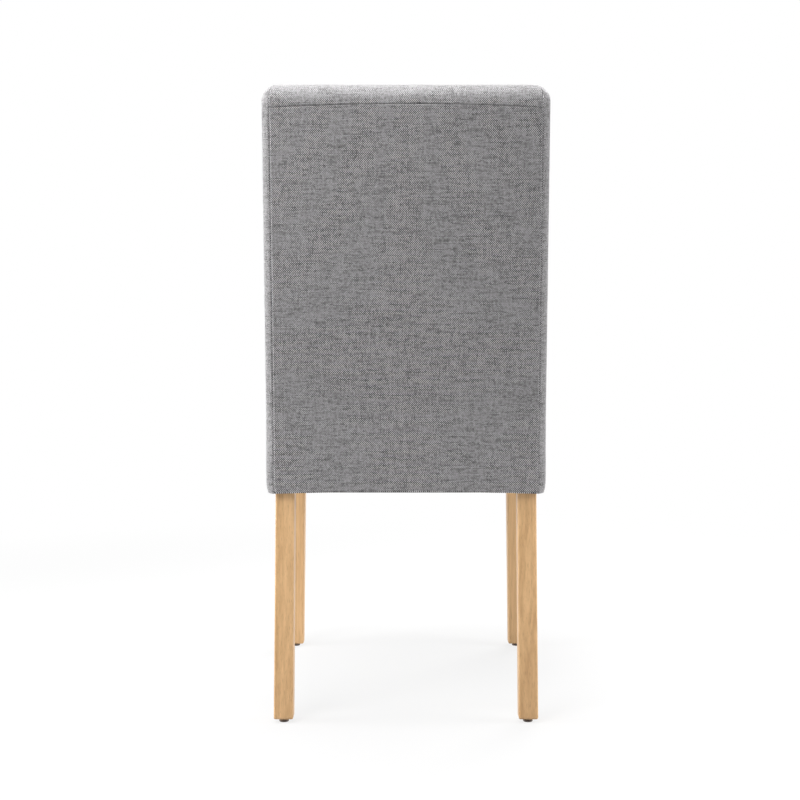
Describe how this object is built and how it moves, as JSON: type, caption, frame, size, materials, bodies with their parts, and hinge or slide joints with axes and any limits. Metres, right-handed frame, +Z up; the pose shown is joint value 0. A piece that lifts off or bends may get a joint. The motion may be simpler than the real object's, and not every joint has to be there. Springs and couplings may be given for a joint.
{
  "type": "dining chair",
  "caption": "Upholstered dining chair with a padded seat, a leaning padded back with a rolled top edge, and plain square wooden legs on glides.",
  "frame": {"origin": "on the floor, at the centre of the chair's outline seen from above", "axes": "+Z up, -Y towards the front of the seat, +X to the sitter's left"},
  "size_m": [0.4684, 0.56, 0.985],
  "materials": {
    "cover_fabric": "grey melange linen-look plain weave",
    "leg_oak": "oak colour, satin lacquer",
    "frame_wood": "sawn beech, unfinished",
    "hardboard": "brown hardboard",
    "foam": "open-cell foam",
    "wadding": "white polyester wadding",
    "webbing": "woven elastic webbing",
    "dust_fabric": "black non-woven",
    "glide_plastic": "dark brown nylon",
    "steel": "zinc plated"
  },
  "bodies": {
    "root": {"back_board": "hardboard", "back_foam": "foam", "back_middle_rail": "frame_wood", "back_roll_foam": "foam", "back_side_foam_left": "foam", "back_side_foam_right": "foam", "back_top_rail": "frame_wood", "back_tuck_rail": "frame_wood", "corner_block_front_left": "frame_wood", "corner_block_front_right": "frame_wood", "corner_block_rear_left": "frame_wood", "corner_block_rear_right": "frame_wood", "corner_block_screws": "steel", "dust_cover": "dust_fabric", "front_leg_left": "leg_oak", "front_leg_right": "leg_oak", "front_rail": "frame_wood", "glide_front_left": "glide_plastic", "glide_front_right": "glide_plastic", "glide_nails": "steel", "glide_rear_left": "glide_plastic", "glide_rear_right": "glide_plastic", "inside_back_cover": "cover_fabric", "leg_bolt_nuts": "steel", "leg_bolt_washers": "steel", "leg_bolts": "steel", "outside_back_board": "hardboard", "outside_back_cover": "cover_fabric", "outside_back_wadding": "wadding", "rail_dowels": "frame_wood", "rear_post_left": "leg_oak", "rear_post_right": "leg_oak", "rear_rail": "frame_wood", "seat_border_cover": "cover_fabric", "seat_border_foam": "foam", "seat_foam": "foam", "seat_top_cover": "cover_fabric", "side_gusset_left": "cover_fabric", "side_gusset_right": "cover_fabric", "side_rail_left": "frame_wood", "side_rail_right": "frame_wood", "webbing_crosswise": "webbing", "webbing_lengthwise": "webbing"}
  },
  "joints": []
}
